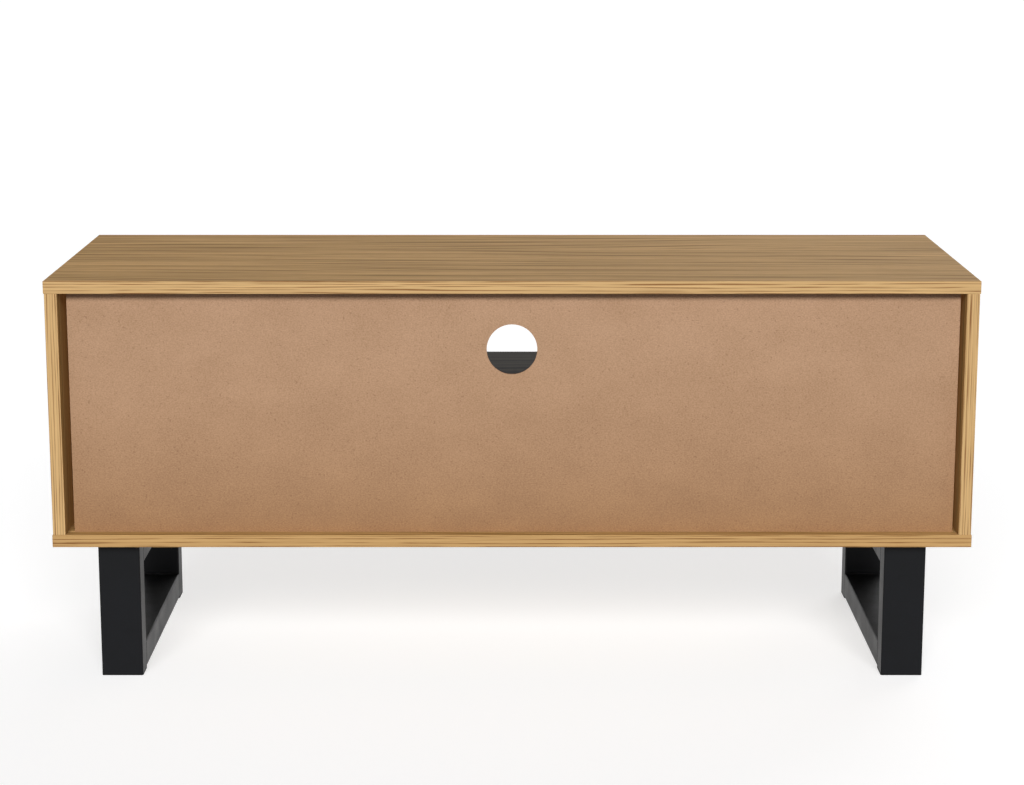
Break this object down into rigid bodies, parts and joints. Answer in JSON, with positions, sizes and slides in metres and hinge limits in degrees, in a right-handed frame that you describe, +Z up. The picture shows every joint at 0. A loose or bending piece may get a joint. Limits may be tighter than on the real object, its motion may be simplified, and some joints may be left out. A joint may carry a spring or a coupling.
{
  "type": "tv stand",
  "caption": "Low media cabinet with an open centre bay between two hinged doors, standing on two steel loop legs.",
  "frame": {"origin": "on the floor, under the centre of the whole stand with its handles", "axes": "+Z up, +X along the stand to the right of a person facing the doors, -Y towards that person"},
  "size_m": [1.1, 0.424, 0.488],
  "materials": {
    "oak_melamine": "oak-effect melamine on chipboard, satin",
    "dark_melamine": "charcoal wood-effect melamine on chipboard, satin",
    "raw_fibreboard": "raw medium-density fibreboard, matt",
    "black_steel": "black powder coat, matt",
    "bright_steel": "zinc plated",
    "zinc_casting": "as cast",
    "black_plastic": "moulded, fine grained",
    "white_plastic": "moulded, satin",
    "ferrite": "sintered, matt",
    "beech": "plain turned, unfinished"
  },
  "bodies": {
    "carcass": {"back_panel": "raw_fibreboard", "bottom_board": "oak_melamine", "cam_bolts": "bright_steel", "cam_locks": "zinc_casting", "centre_shelf": "dark_melamine", "left_catch_housing": "white_plastic", "left_catch_magnet": "ferrite", "left_catch_screws": "bright_steel", "left_divider": "dark_melamine", "left_front_foot_cap": "black_plastic", "left_leg_floor_rail": "black_steel", "left_leg_front_post": "black_steel", "left_leg_inserts": "bright_steel", "left_leg_rear_post": "black_steel", "left_leg_screws": "black_steel", "left_leg_top_rail": "black_steel", "left_lower_pivot_bush": "black_plastic", "left_rear_foot_cap": "black_plastic", "left_side_board": "oak_melamine", "left_upper_pivot_bush": "black_plastic", "right_catch_housing": "white_plastic", "right_catch_magnet": "ferrite", "right_catch_screws": "bright_steel", "right_divider": "dark_melamine", "right_front_foot_cap": "black_plastic", "right_leg_floor_rail": "black_steel", "right_leg_front_post": "black_steel", "right_leg_inserts": "bright_steel", "right_leg_rear_post": "black_steel", "right_leg_screws": "black_steel", "right_leg_top_rail": "black_steel", "right_lower_pivot_bush": "black_plastic", "right_rear_foot_cap": "black_plastic", "right_side_board": "oak_melamine", "right_upper_pivot_bush": "black_plastic", "top_board": "oak_melamine", "wooden_dowels": "beech"},
    "left_door": {"left_door": "oak_melamine", "left_handle": "black_steel", "left_handle_screws": "bright_steel", "left_lower_pivot_plate": "bright_steel", "left_pivot_plate_screws": "bright_steel", "left_strike_plate": "bright_steel", "left_strike_screws": "bright_steel", "left_upper_pivot_plate": "bright_steel"},
    "right_door": {"right_door": "oak_melamine", "right_handle": "black_steel", "right_handle_screws": "bright_steel", "right_lower_pivot_plate": "bright_steel", "right_pivot_plate_screws": "bright_steel", "right_strike_plate": "bright_steel", "right_strike_screws": "bright_steel", "right_upper_pivot_plate": "bright_steel"}
  },
  "joints": [
    {"name": "left_door_pivot", "type": "hinge", "parent": "carcass", "child": "left_door", "pos_m": [-0.521, -0.18, 0.327], "axis": [0, 0, -1], "range_deg": [0, 115]},
    {"name": "right_door_pivot", "type": "hinge", "parent": "carcass", "child": "right_door", "pos_m": [0.521, -0.18, 0.327], "axis": [0, 0, 1], "range_deg": [0, 115]}
  ]
}
